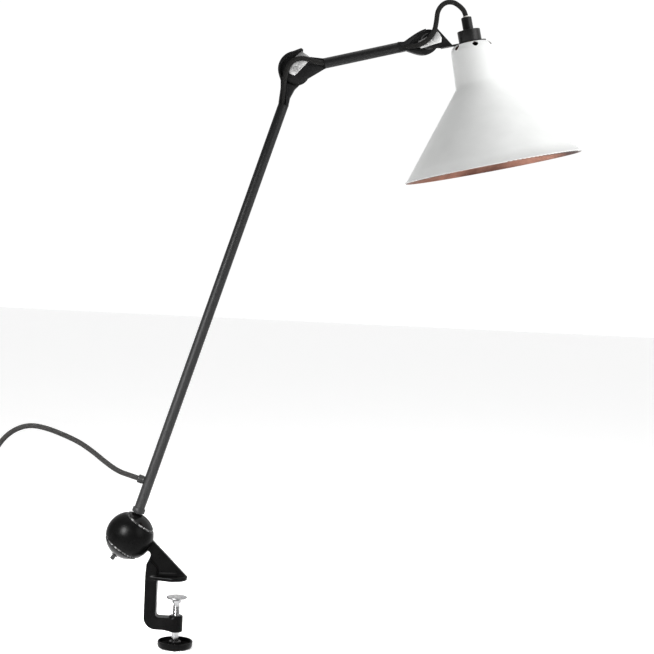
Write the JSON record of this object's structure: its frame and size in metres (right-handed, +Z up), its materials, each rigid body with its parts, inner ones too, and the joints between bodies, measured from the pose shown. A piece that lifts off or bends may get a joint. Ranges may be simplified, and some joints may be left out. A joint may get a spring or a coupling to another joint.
{
  "type": "architect desk lamp",
  "caption": "Clamp-on architect desk lamp: bench clamp, clamped ball joint, long and short tubular arms, and a tilting conical shade on a looped textile lead.",
  "frame": {"origin": "centre of the clamp's upper jaw underside, on the axis of the clamp screw", "axes": "+Z up along the clamp's spine, +X from the spine to the jaw's open end, arms in the plane Y = 0"},
  "size_m": [1.0129, 0.2388, 0.8929],
  "materials": {
    "clamp_black": "gloss black enamel",
    "ball_black": "polished black enamel",
    "arm_black": "satin black textured paint",
    "bright_steel": "bright zinc plated",
    "wheel_black": "satin black phenolic",
    "holder_black": "satin black phenolic",
    "shade_white": "matt white outside, satin copper inside",
    "pale_bush": "natural nylon",
    "brass": "turned",
    "bulb": "frosted",
    "cable_black": "woven textile sleeve on a rubber core",
    "plug_black": "moulded",
    "switch_black": "moulded",
    "tie": "soft strap"
  },
  "bodies": {
    "clamp": {"clamp_body": "clamp_black", "mains_cord_lower": "cable_black", "mains_cord_tail": "cable_black", "mains_cord_end": "cable_black", "mains_coil": "cable_black", "coil_tie": "tie", "switch_base": "switch_black", "switch_cover": "switch_black", "plug_body": "plug_black", "plug_pins": "bright_steel"},
    "pad": {"screw_pad": "bright_steel"},
    "spindle": {"clamp_screw": "bright_steel", "hand_wheel": "wheel_black", "wheel_pin": "bright_steel"},
    "ball": {"ball_core": "ball_black", "ball_lower_cap": "ball_black", "lower_friction_ring": "bright_steel", "upper_friction_shoes": "bright_steel", "tie_screw": "arm_black", "arm_pin": "bright_steel"},
    "lower_arm": {"lower_tongue": "arm_black", "lower_tube": "arm_black", "lower_ferrule": "arm_black", "gland_body": "holder_black", "gland_nut": "holder_black", "lower_lead": "cable_black", "elbow_hood": "arm_black", "elbow_bolt": "bright_steel", "elbow_nut": "bright_steel", "elbow_friction_disc": "bright_steel", "elbow_steel_plate": "bright_steel", "elbow_cable": "cable_black", "mains_cord_upper": "cable_black"},
    "upper_arm": {"elbow_plate": "arm_black", "upper_tube": "arm_black", "upper_lead": "cable_black", "head_leaf": "arm_black", "head_bolt": "bright_steel", "head_nut": "bright_steel", "head_friction_disc": "bright_steel", "head_steel_plate": "bright_steel", "head_cable": "cable_black"},
    "head": {"head_bracket": "arm_black", "lampholder_cap": "holder_black", "cord_grip": "pale_bush", "hollow_nipple": "brass", "nipple_nut": "brass", "shade": "shade_white", "shade_ring": "holder_black", "lampholder_body": "holder_black", "centre_contact": "brass", "bulb_base": "bright_steel", "bulb_glass": "bulb"},
    "rocker": {"switch_rocker": "switch_black"}
  },
  "joints": [
    {"name": "ball_swivel", "type": "hinge", "parent": "clamp", "child": "ball", "pos_m": [-0.0675, 0, 0.0575], "axis": [0.5736, 0, 0.8192], "range_deg": [-90, 90], "deforming": ["mains_cord_lower"]},
    {"name": "arm_tilt", "type": "hinge", "parent": "ball", "child": "lower_arm", "pos_m": [-0.0675, 0, 0.0575], "axis": [0, -1, 0], "range_deg": [-49, 13], "deforming": ["mains_cord_upper"]},
    {"name": "elbow", "type": "hinge", "parent": "lower_arm", "child": "upper_arm", "pos_m": [0.12977, 0, 0.69675], "axis": [0, -1, 0], "range_deg": [-60, 32], "deforming": ["elbow_cable"]},
    {"name": "head_tilt", "type": "hinge", "parent": "upper_arm", "child": "head", "pos_m": [0.30533, 0, 0.74281], "axis": [0, 1, 0], "range_deg": [-32, 50], "deforming": ["head_cable"]},
    {"name": "screw_travel", "type": "slide", "parent": "clamp", "child": "pad", "axis": [0, 0, 1], "range_m": [-0.015, 0.0125]},
    {"name": "screw_turn", "type": "hinge", "parent": "pad", "child": "spindle", "pos_m": [0, 0, -0.05], "axis": [0, 0, 1], "range_deg": [-3601, 3001]},
    {"name": "switch_rock", "type": "hinge", "parent": "clamp", "child": "rocker", "pos_m": [-0.412, -0.024, -0.08], "axis": [0, -1, 0], "range_deg": [0, 14]}
  ],
  "couplings": [
    {"joint": "screw_turn", "follows": "screw_travel", "rad_per_m": 4188.8}
  ]
}
